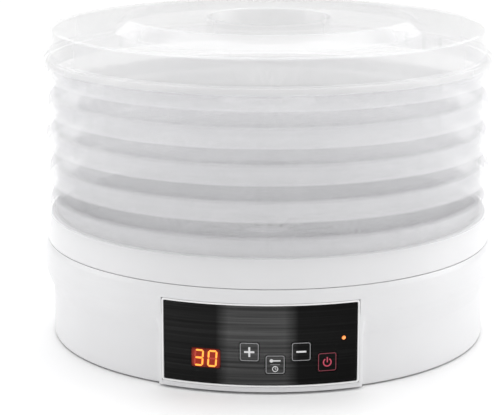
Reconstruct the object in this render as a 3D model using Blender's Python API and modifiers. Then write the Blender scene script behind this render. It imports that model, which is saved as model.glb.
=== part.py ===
"""Round food dehydrator: a heated fan base, five nesting trays and a vented lid.

Metres, +Z up. The origin is on the table under the centre, and the control panel faces -Y.
Angles round the body are measured from -Y, positive towards +X.
"""
import math

import bmesh
import bpy
from mathutils import Matrix, Vector

MM = 0.001
GAP = 0.3 * MM                      # clearance between touching pieces
ROUND_STEPS = 40                    # facets round every large turned piece

# Lid
LID_R = 158.75 * MM                 # flange, the widest part of the machine (12.5 in across)
LID_WALL_R = 152.2 * MM
LID_THICK = 1.8 * MM
LID_FLANGE_LOW = 195.0 * MM
LID_FLANGE_TOP = 199.5 * MM
LID_RIM_Z = 217.8 * MM
PLATEAU_FOOT_R = 111.0 * MM
PLATEAU_FOOT_Z = 216.4 * MM
PLATEAU_R = 101.9 * MM
HEIGHT = 224.8 * MM
RECESS_R = 43.0 * MM
RECESS_Z = 223.7 * MM
RECESS_DEPTH = 12.0 * MM
LID_SLOTS = 16

# Trays. Heights are measured from the lower edge of the wide band, which is a hollow rim:
# an inner wall, a flat shelf on top and an outer skirt that leans in at its shoulder.
TRAYS = 5
TRAY_PITCH = 23.7 * MM
LOWEST_BAND_Z = 89.4 * MM
BAND_R = 156.1 * MM
BAND_HEIGHT = 13.2 * MM
BAND_SHELF_R = 154.3 * MM
BAND_SHOULDER_Z = 8.6 * MM
BAND_WALL_R = 151.7 * MM
NECK_R = 148.7 * MM
TRAY_THICK = 1.8 * MM
NECK_DROP = TRAY_PITCH - TRAY_THICK - GAP
TRAY_HUB_R = 20.0 * MM
TRAY_HUB_RISE = 5.0 * MM
TRAY_SLOTS = 20

# Base
HOUSING_LOW = 3.4 * MM              # underside of the lip that the cover screws to
SKIRT_LOW = 1.0 * MM                # lower edge of the outer wall, round the cover
HOUSING_R = 153.1 * MM
SHOULDER_R = 158.7 * MM
SEAM_Z = 69.5 * MM
SEAM_R = 156.3 * MM
HOUSING_THICK = 2.0 * MM
HOUSING_LIP_R = 144.0 * MM
COVER_LOW = 1.3 * MM
COVER_THICK = 1.8 * MM
COVER_R = 150.8 * MM
DECK_THICK = 1.8 * MM
DECK_BORE_R = NECK_R + 0.9 * MM
DECK_RIM_R = 153.7 * MM
DECK_SPIGOT_R = 153.8 * MM

# Control panel, on a curved face of constant radius
PANEL_R = 158.4 * MM
PANEL_HALF = math.radians(23.25)
PANEL_LOW = 6.6 * MM
PANEL_HIGH = 59.2 * MM
PANEL_THICK = 1.2 * MM
FRAME_WIDTH = 1.2 * MM
CONSOLE_R = 158.1 * MM
CONSOLE_HALF = math.radians(24.5)
CONSOLE_WALL = 1.7 * MM
KEY_SIZE = 12.8 * MM
KEY_TRAVEL = 0.6 * MM
KEY_PLACES = {                      # distance along the panel from its middle, height
    "plus": (-6.6 * MM, 28.8 * MM),
    "mode": (10.0 * MM, 20.5 * MM),
    "minus": (26.8 * MM, 28.8 * MM),
    "power": (43.9 * MM, 21.0 * MM),
}
DISPLAY_PLACE = (-35.2 * MM, 23.2 * MM)
DISPLAY_SIZE = (19.3 * MM, 12.6 * MM)
LIGHT_PLACE = (55.2 * MM, 36.2 * MM)
LIGHT_R = 1.3 * MM
BOARD_FRONT_Y = -139.6 * MM
BOARD_THICK = 1.6 * MM
SWITCH_DEPTH = 3.7 * MM

# Fan, heater and power parts
DUCT_R = 59.0 * MM
DUCT_THICK = 1.6 * MM
DUCT_LOW = 30.0 * MM
MOTOR_R = 24.0 * MM
MOTOR_LOW = 12.0 * MM
MOTOR_HIGH = 32.0 * MM
SHAFT_R = 2.0 * MM
SHAFT_LOW = 16.4 * MM
SHAFT_HIGH = 45.5 * MM
FAN_LOW = 36.0 * MM
FAN_HIGH = 48.0 * MM
FAN_R = 53.0 * MM
FAN_HUB_R = 14.0 * MM
BLADES = 7
HEATER_R = 40.0 * MM
HEATER_WIRE_R = 2.2 * MM
HEATER_Z = 56.0 * MM
FOOT_PLACE_R = 122.0 * MM
SCREW_PLACE_R = 145.5 * MM
SCREW_ANGLES = (60.0, 120.0, 240.0, 300.0)
FOOT_ANGLES = (45.0, 135.0, 225.0, 315.0)
BOARD_CENTRE = Vector((-92.0 * MM, 48.0 * MM, 10.8 * MM))
BOARD_SIZE = Vector((46.0 * MM, 62.0 * MM, 1.6 * MM))
CORD_Z = 20.0 * MM
CORD_BORE_R = 3.6 * MM


def clear_scene():
    for old in list(bpy.data.objects):
        bpy.data.objects.remove(old, do_unlink=True)


def new_collection(name):
    group = bpy.data.collections.new(name)
    bpy.context.scene.collection.children.link(group)
    return group


clear_scene()
PARTS = new_collection("food_dehydrator")
CUTTERS = new_collection("cutters")


def material(name, colour, roughness, metallic=0.0, alpha=1.0):
    """A Principled material with one colour, also used by the viewport."""
    mat = bpy.data.materials.new(name)
    mat.use_nodes = True
    shader = mat.node_tree.nodes["Principled BSDF"]
    shader.inputs["Base Color"].default_value = (*colour, 1.0)
    shader.inputs["Roughness"].default_value = roughness
    shader.inputs["Metallic"].default_value = metallic
    shader.inputs["Alpha"].default_value = alpha
    mat.diffuse_color = (*colour, alpha)
    return mat


WHITE = (0.83, 0.83, 0.84)
FROSTED = (0.80, 0.80, 0.83)


def place(mesh, name, mat=None, location=(0.0, 0.0, 0.0)):
    """Put a mesh in the parts collection, or among the cutters if it has no material."""
    obj = bpy.data.objects.new(name, mesh)
    obj.location = location
    if mat is None:
        CUTTERS.objects.link(obj)
        obj.hide_render = True
        obj.display_type = "WIRE"
    else:
        PARTS.objects.link(obj)
        mesh.materials.append(mat)
    return obj


def finish_mesh(bm, name, smooth=False):
    bmesh.ops.recalc_face_normals(bm, faces=bm.faces)
    mesh = bpy.data.meshes.new(name)
    bm.to_mesh(mesh)
    bm.free()
    if smooth:
        mesh.shade_smooth()
        mesh.set_sharp_from_angle(angle=math.radians(35.0))
    return mesh


def on_circle(radius, angle, z=0.0):
    """The point at an angle from -Y, positive towards +X."""
    return Vector((radius * math.sin(angle), -radius * math.cos(angle), z))


def line_mesh(name, points, closed):
    """Edges through (radius, z) points in the XZ plane."""
    bm = bmesh.new()
    verts = [bm.verts.new((radius, 0.0, z)) for radius, z in points]
    for first, second in zip(verts, verts[1:]):
        bm.edges.new((first, second))
    if closed:
        bm.edges.new((verts[-1], verts[0]))
    mesh = bpy.data.meshes.new(name)
    bm.to_mesh(mesh)
    bm.free()
    return mesh


def turned(name, points, mat=None, closed=True, steps=ROUND_STEPS, location=(0.0, 0.0, 0.0)):
    """Turn a profile round Z. It runs down its outer side; an open one starts and ends on the axis."""
    obj = place(line_mesh(name, points, closed), name, mat, location)
    screw = obj.modifiers.new("turn", "SCREW")
    screw.axis = "Z"
    screw.steps = steps
    screw.render_steps = steps
    screw.use_smooth_shade = True
    screw.use_merge_vertices = not closed
    screw.merge_threshold = 0.00005
    return obj


def turned_shell(name, points, thickness, offset, mat, steps=ROUND_STEPS):
    """Turn an open profile round Z and give it a wall thickness."""
    obj = turned(name, points, mat, closed=False, steps=steps)
    wall = obj.modifiers.new("wall", "SOLIDIFY")
    wall.thickness = thickness
    wall.offset = offset
    wall.use_even_offset = True
    return obj


def cylinder(name, radius, low, high, mat=None, steps=20, centre=(0.0, 0.0)):
    """An upright cylinder whose object sits on its own axis."""
    bm = bmesh.new()
    bmesh.ops.create_cone(bm, cap_ends=True, segments=steps, radius1=radius, radius2=radius,
                          depth=high - low, matrix=Matrix.Translation((0.0, 0.0, (low + high) / 2)))
    return place(finish_mesh(bm, name, smooth=True), name, mat, (centre[0], centre[1], 0.0))


def box(name, size, centre, mat=None, angle=0.0):
    """A box with its own origin, turned by an angle round its upright axis."""
    bm = bmesh.new()
    bmesh.ops.create_cube(bm, size=1.0, matrix=Matrix.Diagonal((*size, 1.0)))
    obj = place(finish_mesh(bm, name), name, mat, centre)
    obj.rotation_euler = (0.0, 0.0, angle)
    return obj


def span(low, high):
    """Size and centre of a box given by two corners."""
    low, high = Vector(low), Vector(high)
    return high - low, (low + high) / 2


def rod(name, radius, start, end, mat=None, steps=14):
    """A cylinder between two points, with its object at the start point."""
    start, end = Vector(start), Vector(end)
    along = end - start
    bm = bmesh.new()
    bmesh.ops.create_cone(bm, cap_ends=True, segments=steps, radius1=radius, radius2=radius,
                          depth=along.length, matrix=Matrix.Translation((0.0, 0.0, along.length / 2)))
    obj = place(finish_mesh(bm, name, smooth=True), name, mat, start)
    obj.rotation_mode = "QUATERNION"
    obj.rotation_quaternion = along.to_track_quat("Z", "Y")
    return obj


def sector(name, inner, outer, start, end, low, high, mat=None, steps=12):
    """A curved plate: part of a ring between two angles, with upright ends."""
    turns = [start + (end - start) * i / steps for i in range(steps + 1)]
    outline = [on_circle(outer, a, low) for a in turns]
    outline += [on_circle(inner, a, low) for a in reversed(turns)]
    bm = bmesh.new()
    base = bm.faces.new([bm.verts.new(point) for point in outline])
    grown = bmesh.ops.extrude_face_region(bm, geom=[base])
    lifted = [item for item in grown["geom"] if isinstance(item, bmesh.types.BMVert)]
    bmesh.ops.translate(bm, verts=lifted, vec=(0.0, 0.0, high - low))
    return place(finish_mesh(bm, name, smooth=True), name, mat)


def radial_slots(name, count, inner, outer, width, low, high, turn=0.0):
    """One cutter holding a wheel of straight radial slots."""
    size, centre = span((inner, -width / 2, low), (outer, width / 2, high))
    bm = bmesh.new()
    for i in range(count):
        spin = Matrix.Rotation(turn + 2 * math.pi * i / count, 4, "Z")
        bmesh.ops.create_cube(bm, size=1.0,
                              matrix=spin @ Matrix.Translation(centre) @ Matrix.Diagonal((*size, 1.0)))
    return place(finish_mesh(bm, name), name)


def boolean(obj, other, operation):
    step = obj.modifiers.new(f"{operation.lower()}_{other.name}", "BOOLEAN")
    step.operation = operation
    step.solver = "EXACT"
    step.object = other


def cut(obj, *cutters):
    for cutter in cutters:
        boolean(obj, cutter, "DIFFERENCE")


def add(obj, *helpers):
    for helper in helpers:
        boolean(obj, helper, "UNION")


def make_lid():
    """One clear moulding: a flange over the top tray, a rim, a raised plateau and a vent well."""
    clear = material("lid_clear", FROSTED, 0.22, alpha=0.6)
    well_z = RECESS_Z - RECESS_DEPTH
    outline = [
        (0.0, well_z),
        (RECESS_R - 1.5 * MM, well_z),
        (RECESS_R, RECESS_Z),
        (PLATEAU_R - 2.0 * MM, HEIGHT),
        (PLATEAU_R, HEIGHT - 0.7 * MM),
        (PLATEAU_FOOT_R, PLATEAU_FOOT_Z),
        (LID_WALL_R - 2.0 * MM, LID_RIM_Z),
        (LID_WALL_R, LID_RIM_Z - 1.0 * MM),
        (LID_WALL_R + 0.3 * MM, LID_FLANGE_TOP),
        (LID_R - 0.6 * MM, LID_FLANGE_TOP - 0.2 * MM),
        (LID_R, LID_FLANGE_LOW),
    ]
    lid = turned_shell("lid", outline, LID_THICK, -1.0, clear)
    cut(lid, radial_slots("lid_vent_slots", LID_SLOTS, 14.0 * MM, 36.0 * MM, 3.0 * MM,
                          well_z - 5.0 * MM, well_z + 5.0 * MM))


def make_trays():
    """Five equal trays. Each neck stands on the inner ledge of the tray below, inside its rim."""
    frosted = material("tray_frosted", FROSTED, 0.35, alpha=0.6)
    half = TRAY_THICK / 2
    hub_top = -NECK_DROP + TRAY_HUB_RISE
    floor = half - NECK_DROP
    for number in range(1, TRAYS + 1):
        band_z = LOWEST_BAND_Z + TRAY_PITCH * (TRAYS - number)
        outline = [
            (TRAY_HUB_R, band_z + hub_top),
            (TRAY_HUB_R, band_z + floor),
            (NECK_R - half, band_z + floor),
            (NECK_R - half, band_z + half),
            (BAND_WALL_R - half, band_z + half),
            (BAND_WALL_R - half, band_z + BAND_HEIGHT - half),
            (BAND_SHELF_R - half, band_z + BAND_HEIGHT - half),
            (BAND_R - half, band_z + BAND_SHOULDER_Z),
            (BAND_R - half, band_z),
        ]
        tray = turned_shell(f"tray_{number}", outline, TRAY_THICK, 0.0, frosted)
        low, high = band_z + floor - 5.0 * MM, band_z + floor + 3.0 * MM
        slots = radial_slots(f"tray_{number}_slots", TRAY_SLOTS, 32.0 * MM, 140.0 * MM,
                             6.0 * MM, low, high)
        cut(tray, slots)


def make_top_deck():
    """The upper base ring, its tray seat and the air grille in one moulding."""
    white = material("deck_white", WHITE, 0.35)
    top = LOWEST_BAND_Z - GAP
    deck_top = LOWEST_BAND_Z - NECK_DROP - GAP
    deck_low = deck_top - DECK_THICK
    outline = [
        (0.0, deck_top),
        (DECK_BORE_R, deck_top),
        (DECK_BORE_R, top),
        (DECK_RIM_R, top),
        (SEAM_R, SEAM_Z + GAP),
        (DECK_SPIGOT_R, SEAM_Z + GAP),
        (DECK_SPIGOT_R, deck_low),
        (0.0, deck_low),
    ]
    deck = turned("top_deck", outline, white, closed=False)
    cut(deck, radial_slots("grille_slots", 16, 20.0 * MM, 52.0 * MM, 5.0 * MM,
                           deck_low - 3.0 * MM, deck_top + 3.0 * MM))


def make_base_housing():
    """The lower body: shoulder, skirt, cover lip, curved console, screw posts and cord hole."""
    white = material("housing_white", WHITE, 0.35)
    lip_high = HOUSING_LOW + HOUSING_THICK
    inner_r = HOUSING_R - HOUSING_THICK
    outline = [
        (SEAM_R, SEAM_Z),
        (157.8 * MM, 66.5 * MM),
        (SHOULDER_R, 61.5 * MM),
        (SHOULDER_R, 51.5 * MM),
        (157.2 * MM, 45.5 * MM),
        (154.0 * MM, 37.6 * MM),
        (HOUSING_R, 35.0 * MM),
        (HOUSING_R, SKIRT_LOW),
        (inner_r, SKIRT_LOW),
        (inner_r, HOUSING_LOW),
        (HOUSING_LIP_R, HOUSING_LOW),
        (HOUSING_LIP_R, lip_high),
        (inner_r, lip_high),
        (inner_r, 35.3 * MM),
        (152.1 * MM, 38.2 * MM),
        (155.3 * MM, 46.1 * MM),
        (SHOULDER_R - HOUSING_THICK, 51.7 * MM),
        (SHOULDER_R - HOUSING_THICK, 61.3 * MM),
        (155.9 * MM, 65.9 * MM),
        (SEAM_R - HOUSING_THICK, SEAM_Z),
    ]
    housing = turned("base_housing", outline, white)
    add(housing, sector("console_block", HOUSING_R - 1.2 * MM, CONSOLE_R, -CONSOLE_HALF,
                        CONSOLE_HALF, SKIRT_LOW + 0.6 * MM, 61.4 * MM, steps=20))
    for i, side in enumerate((-1, 1)):
        size, centre = span((side * 47.0 * MM - 2.5 * MM, -155.0 * MM, 44.5 * MM),
                            (side * 47.0 * MM + 2.5 * MM, BOARD_FRONT_Y - GAP, 49.5 * MM))
        add(housing, box(f"board_post_{i + 1}", size, centre))
    cavity = sector("console_cavity", 148.0 * MM, CONSOLE_R - PANEL_THICK - CONSOLE_WALL,
                    -PANEL_HALF + 0.01, PANEL_HALF - 0.01, HOUSING_LOW + 4.0 * MM, 42.0 * MM, steps=20)
    recess = sector("panel_recess", PANEL_R - PANEL_THICK - GAP, PANEL_R + 5.0 * MM,
                    -PANEL_HALF - 1.8 * MM / PANEL_R, PANEL_HALF + 1.8 * MM / PANEL_R,
                    PANEL_LOW - 1.8 * MM, PANEL_HIGH + 1.8 * MM, steps=20)
    window = sector("console_window", 148.0 * MM, PANEL_R, math.radians(-18.0), math.radians(21.2),
                    11.5 * MM, 39.5 * MM, steps=16)
    cut(housing, cavity, recess, window)
    for i, degrees in enumerate(SCREW_ANGLES):
        at = on_circle(SCREW_PLACE_R, math.radians(degrees))
        add(housing, cylinder(f"screw_post_{i + 1}", 4.0 * MM, HOUSING_LOW + 0.4 * MM, 15.0 * MM,
                              steps=10, centre=at))
        cut(housing, cylinder(f"screw_bore_{i + 1}", 1.9 * MM, HOUSING_LOW - 2.0 * MM, 12.5 * MM,
                              steps=8, centre=at))
    cut(housing, rod("cord_hole", 6.0 * MM, (0.0, 140.0 * MM, CORD_Z), (0.0, 165.0 * MM, CORD_Z)))


def make_bottom_cover():
    """The flat underside plate with its air intake slots and four board posts."""
    white = material("cover_grey", (0.62, 0.62, 0.63), 0.5)
    top = COVER_LOW + COVER_THICK
    outline = [(0.0, top), (COVER_R, top), (COVER_R, COVER_LOW), (0.0, COVER_LOW)]
    cover = turned("bottom_cover", outline, white, closed=False)
    for i, (along_x, along_y) in enumerate(((-1, -1), (-1, 1), (1, -1), (1, 1))):
        at = BOARD_CENTRE + Vector((along_x * 18.0 * MM, along_y * 25.0 * MM, 0.0))
        add(cover, cylinder(f"board_stand_{i + 1}", 2.5 * MM, COVER_LOW + 0.5 * MM,
                            BOARD_CENTRE.z - BOARD_SIZE.z / 2 - GAP, steps=8, centre=at))
    cut(cover, radial_slots("intake_slots", 20, 20.0 * MM, 56.0 * MM, 4.0 * MM,
                            COVER_LOW - 2.0 * MM, top + 2.0 * MM))
    for i, degrees in enumerate(SCREW_ANGLES):
        cut(cover, cylinder(f"cover_hole_{i + 1}", 1.9 * MM, 0.0, 6.0 * MM, steps=8,
                            centre=on_circle(SCREW_PLACE_R, math.radians(degrees))))
    for i, degrees in enumerate(FOOT_ANGLES):
        cut(cover, cylinder(f"foot_hole_{i + 1}", 3.3 * MM, 0.0, 6.0 * MM, steps=12,
                            centre=on_circle(FOOT_PLACE_R, math.radians(degrees))))


def make_feet_and_screws():
    """Push-in rubber feet, and pan head screws that hold the cover to the housing posts."""
    rubber = material("foot_rubber", (0.55, 0.55, 0.56), 0.8)
    steel = material("screw_steel", (0.55, 0.56, 0.58), 0.3, 1.0)
    head_top = COVER_LOW - GAP
    for i, degrees in enumerate(FOOT_ANGLES):
        plug = [(0.0, 5.6 * MM), (3.0 * MM, 5.6 * MM), (3.0 * MM, head_top), (8.0 * MM, head_top),
                (8.0 * MM, 0.3 * MM), (7.5 * MM, 0.0), (0.0, 0.0)]
        turned(f"foot_{i + 1}", plug, rubber, closed=False, steps=16,
               location=on_circle(FOOT_PLACE_R, math.radians(degrees)))
    for i, degrees in enumerate(SCREW_ANGLES):
        shape = [(0.0, 12.0 * MM), (1.5 * MM, 12.0 * MM), (1.5 * MM, head_top), (3.4 * MM, head_top),
                 (3.4 * MM, 0.5 * MM), (2.4 * MM, 0.25 * MM), (0.0, 0.25 * MM)]
        turned(f"cover_screw_{i + 1}", shape, steel, closed=False, steps=12,
               location=on_circle(SCREW_PLACE_R, math.radians(degrees)))


def panel_angles(place_along, width):
    """First and last angle of something centred at a distance along the panel."""
    middle = place_along / PANEL_R
    half = width / 2 / PANEL_R
    return middle - half, middle + half


def make_panel():
    """The black panel sheet, its white frame, the red display lens and the pilot light."""
    black = material("panel_black", (0.015, 0.015, 0.017), 0.15)
    white = material("frame_white", (0.86, 0.86, 0.87), 0.3)
    red = material("display_red", (0.35, 0.02, 0.01), 0.15)
    amber = material("pilot_amber", (0.9, 0.3, 0.05), 0.3)
    back = PANEL_R - PANEL_THICK
    sheet = sector("panel_overlay", back, PANEL_R, -PANEL_HALF, PANEL_HALF, PANEL_LOW, PANEL_HIGH,
                   black, steps=20)
    inner_edge = GAP / PANEL_R
    outer_edge = (GAP + FRAME_WIDTH) / PANEL_R
    frame = sector("panel_frame", back, PANEL_R + 0.2 * MM, -PANEL_HALF - outer_edge,
                   PANEL_HALF + outer_edge, PANEL_LOW - GAP - FRAME_WIDTH,
                   PANEL_HIGH + GAP + FRAME_WIDTH, white, steps=20)
    cut(frame, sector("frame_opening", back - 5.0 * MM, PANEL_R + 5.0 * MM, -PANEL_HALF - inner_edge,
                      PANEL_HALF + inner_edge, PANEL_LOW - GAP, PANEL_HIGH + GAP, steps=20))
    holes = {f"{name}_key": (*spot, KEY_SIZE, KEY_SIZE) for name, spot in KEY_PLACES.items()}
    holes["display"] = (*DISPLAY_PLACE, *DISPLAY_SIZE)
    for name, (along, z, width, tall) in holes.items():
        start, end = panel_angles(along, width + 2 * GAP)
        cut(sheet, sector(f"{name}_hole", back - 5.0 * MM, PANEL_R + 5.0 * MM, start, end,
                          z - tall / 2 - GAP, z + tall / 2 + GAP, steps=3))
    light_angle = LIGHT_PLACE[0] / PANEL_R
    cut(sheet, rod("light_hole", LIGHT_R + GAP, on_circle(back - 5.0 * MM, light_angle, LIGHT_PLACE[1]),
                   on_circle(PANEL_R + 5.0 * MM, light_angle, LIGHT_PLACE[1]), steps=12))
    rod("indicator_light", LIGHT_R, on_circle(back - 4.0 * MM, light_angle, LIGHT_PLACE[1]),
        on_circle(PANEL_R, light_angle, LIGHT_PLACE[1]), amber, steps=12)
    start, end = panel_angles(DISPLAY_PLACE[0], DISPLAY_SIZE[0])
    sector("display_window", back - 1.5 * MM, PANEL_R - 0.1 * MM, start, end,
           DISPLAY_PLACE[1] - DISPLAY_SIZE[1] / 2, DISPLAY_PLACE[1] + DISPLAY_SIZE[1] / 2, red, steps=3)


def make_keys():
    """Four keys that slide inwards, each on a stem in front of its own switch on the board."""
    black = material("key_black", (0.02, 0.02, 0.022), 0.2)
    grey = material("switch_grey", (0.12, 0.12, 0.13), 0.5)
    stem_half = 2.0 * MM
    for name, (along, z) in KEY_PLACES.items():
        turn = along / PANEL_R
        start, end = panel_angles(along, KEY_SIZE)
        key = sector(f"key_{name}", PANEL_R - 2.6 * MM, PANEL_R, start, end, z - KEY_SIZE / 2,
                     z + KEY_SIZE / 2, black, steps=3)
        reach = -BOARD_FRONT_Y + GAP + SWITCH_DEPTH + KEY_TRAVEL + GAP
        tip = (reach + stem_half * abs(math.sin(turn))) / math.cos(turn)
        size, centre = span((-stem_half, -PANEL_R + 1.0 * MM, z - stem_half),
                            (stem_half, -tip, z + stem_half))
        middle = on_circle(-centre.y, turn, z)
        add(key, box(f"{name}_stem", size, middle, angle=turn))
        size, centre = span((-3.0 * MM, BOARD_FRONT_Y - GAP - SWITCH_DEPTH, -3.0 * MM),
                            (3.0 * MM, BOARD_FRONT_Y - GAP, 3.0 * MM))
        at_tip = on_circle(tip, turn)
        box(f"switch_{name}", size, (at_tip.x, centre.y, z), grey)


def make_control_board():
    """The flat board behind the panel and the display block on it."""
    green = material("board_green", (0.02, 0.16, 0.06), 0.4)
    grey = material("display_block", (0.08, 0.08, 0.08), 0.5)
    size, centre = span((-52.0 * MM, BOARD_FRONT_Y, 12.0 * MM),
                        (55.0 * MM, BOARD_FRONT_Y + BOARD_THICK, 50.0 * MM))
    box("control_board", size, centre, green)
    middle = on_circle(150.0 * MM, DISPLAY_PLACE[0] / PANEL_R).x
    size, centre = span((middle - 9.5 * MM, -148.0 * MM, DISPLAY_PLACE[1] - 6.0 * MM),
                        (middle + 9.5 * MM, BOARD_FRONT_Y - GAP, DISPLAY_PLACE[1] + 6.0 * MM))
    box("display_module", size, centre, grey)


def make_fan():
    """The motor on its bracket, and the shaft and impeller that turn together."""
    steel = material("motor_steel", (0.5, 0.51, 0.53), 0.35, 1.0)
    zinc = material("bracket_zinc", (0.6, 0.61, 0.62), 0.4, 1.0)
    bright = material("shaft_steel", (0.7, 0.7, 0.72), 0.2, 1.0)
    dark = material("impeller_black", (0.03, 0.03, 0.035), 0.45)
    motor = cylinder("fan_motor", MOTOR_R, MOTOR_LOW, MOTOR_HIGH, steel, steps=24)
    cut(motor, cylinder("motor_bore", SHAFT_R + 0.5 * MM, SHAFT_LOW - GAP, MOTOR_HIGH + MM, steps=12))
    cylinder("motor_shaft", SHAFT_R, SHAFT_LOW, SHAFT_HIGH, bright, steps=12)
    impeller = cylinder("fan_impeller", FAN_HUB_R, FAN_LOW, FAN_HIGH, dark, steps=20)
    cut(impeller, cylinder("hub_bore", SHAFT_R + GAP, FAN_LOW - MM, SHAFT_HIGH + GAP, steps=12))
    middle = (FAN_LOW + FAN_HIGH) / 2
    size, centre = span((FAN_HUB_R - 2.0 * MM, -0.8 * MM, -6.0 * MM), (FAN_R, 0.8 * MM, 6.0 * MM))
    bm = bmesh.new()
    for i in range(BLADES):
        spin = Matrix.Rotation(2 * math.pi * i / BLADES, 4, "Z")
        pitch = Matrix.Rotation(math.radians(38.0), 4, "X")
        at = Matrix.Translation((centre.x, 0.0, middle))
        bmesh.ops.create_cube(bm, size=1.0, matrix=spin @ at @ pitch @ Matrix.Diagonal((*size, 1.0)))
    add(impeller, place(finish_mesh(bm, "blades"), "blades"))

    low, high = COVER_LOW + COVER_THICK + GAP, MOTOR_LOW - GAP
    size, centre = span((-70.0 * MM, -11.0 * MM, high - 2.0 * MM), (70.0 * MM, 11.0 * MM, high))
    bracket = box("motor_bracket", size, centre, zinc)
    for i, side in enumerate((-1, 1)):
        size, centre = span((side * 66.0 * MM - 3.0 * MM, -11.0 * MM, low),
                            (side * 66.0 * MM + 3.0 * MM, 11.0 * MM, high - MM))
        add(bracket, box(f"bracket_leg_{i + 1}", size, centre))


def make_heater():
    """The air duct, the ring heater in its notched mica cross, the fuse and the sensor."""
    tin = material("duct_tin", (0.62, 0.63, 0.64), 0.3, 1.0)
    sheath = material("heater_sheath", (0.25, 0.24, 0.23), 0.4, 1.0)
    mica = material("mica_sheet", (0.55, 0.48, 0.36), 0.6)
    ceramic = material("fuse_white", (0.75, 0.74, 0.70), 0.4)
    deck_low = LOWEST_BAND_Z - NECK_DROP - GAP - DECK_THICK
    inner, top = DUCT_R - DUCT_THICK, deck_low - GAP
    turned("air_duct", [(inner, top), (DUCT_R, top), (DUCT_R, DUCT_LOW), (inner, DUCT_LOW)], tin,
           steps=32)
    size, centre = span((-56.0 * MM, -0.6 * MM, 50.0 * MM), (56.0 * MM, 0.6 * MM, 62.0 * MM))
    cross = box("heater_frame", size, centre, mica)
    add(cross, box("frame_arm", size, centre, angle=math.pi / 2))
    slot = HEATER_WIRE_R + GAP
    cut(cross, turned("heater_notch", [(HEATER_R - slot, 63.0 * MM), (HEATER_R + slot, 63.0 * MM),
                                       (HEATER_R + slot, HEATER_Z - slot),
                                       (HEATER_R - slot, HEATER_Z - slot)], steps=24))
    curve = bpy.data.curves.new("heater_path", "CURVE")
    curve.dimensions = "3D"
    curve.bevel_depth = HEATER_WIRE_R
    curve.bevel_resolution = 2
    curve.use_fill_caps = True
    count = 26
    path = curve.splines.new("POLY")
    path.points.add(count - 1)
    for i, point in enumerate(path.points):
        spot = on_circle(HEATER_R, math.radians(100.0 + 340.0 * i / (count - 1)), HEATER_Z)
        point.co = (*spot, 1.0)
    curve.materials.append(sheath)
    PARTS.objects.link(bpy.data.objects.new("heater_element", curve))
    rod("thermal_fuse", 2.0 * MM, (28.0 * MM, 20.0 * MM, 57.0 * MM), (14.0 * MM, 27.0 * MM, 57.0 * MM),
        ceramic, steps=10)
    rod("temperature_sensor", 1.6 * MM, (-20.0 * MM, -36.0 * MM, 61.0 * MM),
        (-20.0 * MM, -28.0 * MM, 61.0 * MM), ceramic, steps=10)


def make_power_parts():
    """The power board with its tall parts, and the bush in the cord hole."""
    green = material("power_board_green", (0.03, 0.18, 0.08), 0.4)
    yellow = material("transformer_yellow", (0.65, 0.5, 0.1), 0.5)
    blue = material("relay_blue", (0.04, 0.12, 0.4), 0.4)
    dark = material("capacitor_dark", (0.05, 0.05, 0.07), 0.4)
    rubber = material("bush_rubber", (0.5, 0.5, 0.51), 0.7)
    box("power_board", BOARD_SIZE, BOARD_CENTRE, green)
    top = BOARD_CENTRE.z + BOARD_SIZE.z / 2 + GAP
    x, y = BOARD_CENTRE.x, BOARD_CENTRE.y
    size, centre = span((x - 14.0 * MM, y - 26.0 * MM, top), (x + 14.0 * MM, y - 2.0 * MM, top + 20.0 * MM))
    box("transformer", size, centre, yellow)
    size, centre = span((x - 16.0 * MM, y + 6.0 * MM, top), (x + 2.0 * MM, y + 22.0 * MM, top + 15.0 * MM))
    box("relay", size, centre, blue)
    cylinder("capacitor", 5.0 * MM, top, top + 18.0 * MM, dark, steps=14,
             centre=(x + 13.0 * MM, y + 14.0 * MM))
    outer = HOUSING_R + 2.2 * MM
    bush = rod("cord_bush", 5.7 * MM, (0.0, 147.0 * MM, CORD_Z), (0.0, outer, CORD_Z), rubber, steps=16)
    add(bush, rod("bush_flange", 8.5 * MM, (0.0, HOUSING_R + GAP, CORD_Z), (0.0, outer, CORD_Z), steps=16))
    cut(bush, rod("bush_bore", CORD_BORE_R, (0.0, 140.0 * MM, CORD_Z), (0.0, 160.0 * MM, CORD_Z),
                  steps=12))


make_lid()
make_trays()
make_top_deck()
make_base_housing()
make_bottom_cover()
make_feet_and_screws()
make_panel()
make_keys()
make_control_board()
make_fan()
make_heater()
make_power_parts()
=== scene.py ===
"""Looks of the round food dehydrator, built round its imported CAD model.

Metres, +Z up. Angles round the body are measured from -Y, positive towards +X.
"""

import math

import bmesh
import bpy
from mathutils import Matrix, Vector


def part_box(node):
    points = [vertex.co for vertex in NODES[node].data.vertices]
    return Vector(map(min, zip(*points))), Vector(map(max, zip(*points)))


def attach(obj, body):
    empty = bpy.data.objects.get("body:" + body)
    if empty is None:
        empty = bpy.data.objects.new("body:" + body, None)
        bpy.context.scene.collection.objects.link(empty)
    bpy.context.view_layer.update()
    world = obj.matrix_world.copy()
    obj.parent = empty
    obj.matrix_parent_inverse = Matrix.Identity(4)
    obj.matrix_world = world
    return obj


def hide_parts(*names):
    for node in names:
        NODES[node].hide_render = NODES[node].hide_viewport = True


MM = 0.001
TRAYS = 5

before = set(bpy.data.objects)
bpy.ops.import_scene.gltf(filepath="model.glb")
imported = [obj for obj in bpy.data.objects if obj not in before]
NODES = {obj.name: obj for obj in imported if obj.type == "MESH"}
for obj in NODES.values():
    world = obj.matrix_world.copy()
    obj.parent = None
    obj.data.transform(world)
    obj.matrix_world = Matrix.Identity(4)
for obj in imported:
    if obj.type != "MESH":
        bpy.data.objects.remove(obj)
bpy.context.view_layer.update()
SCENE = bpy.context.scene


# ---------------------------------------------------------------- camera, light and floor

CAMERA_TURN = math.radians(1.9)
CAMERA_AWAY = 1.307
CAMERA_HEIGHT = 0.399
CAMERA_PITCH = math.radians(13.46)
CAMERA_YAW = math.radians(0.567)
CAMERA_LENS = 135.4


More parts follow.
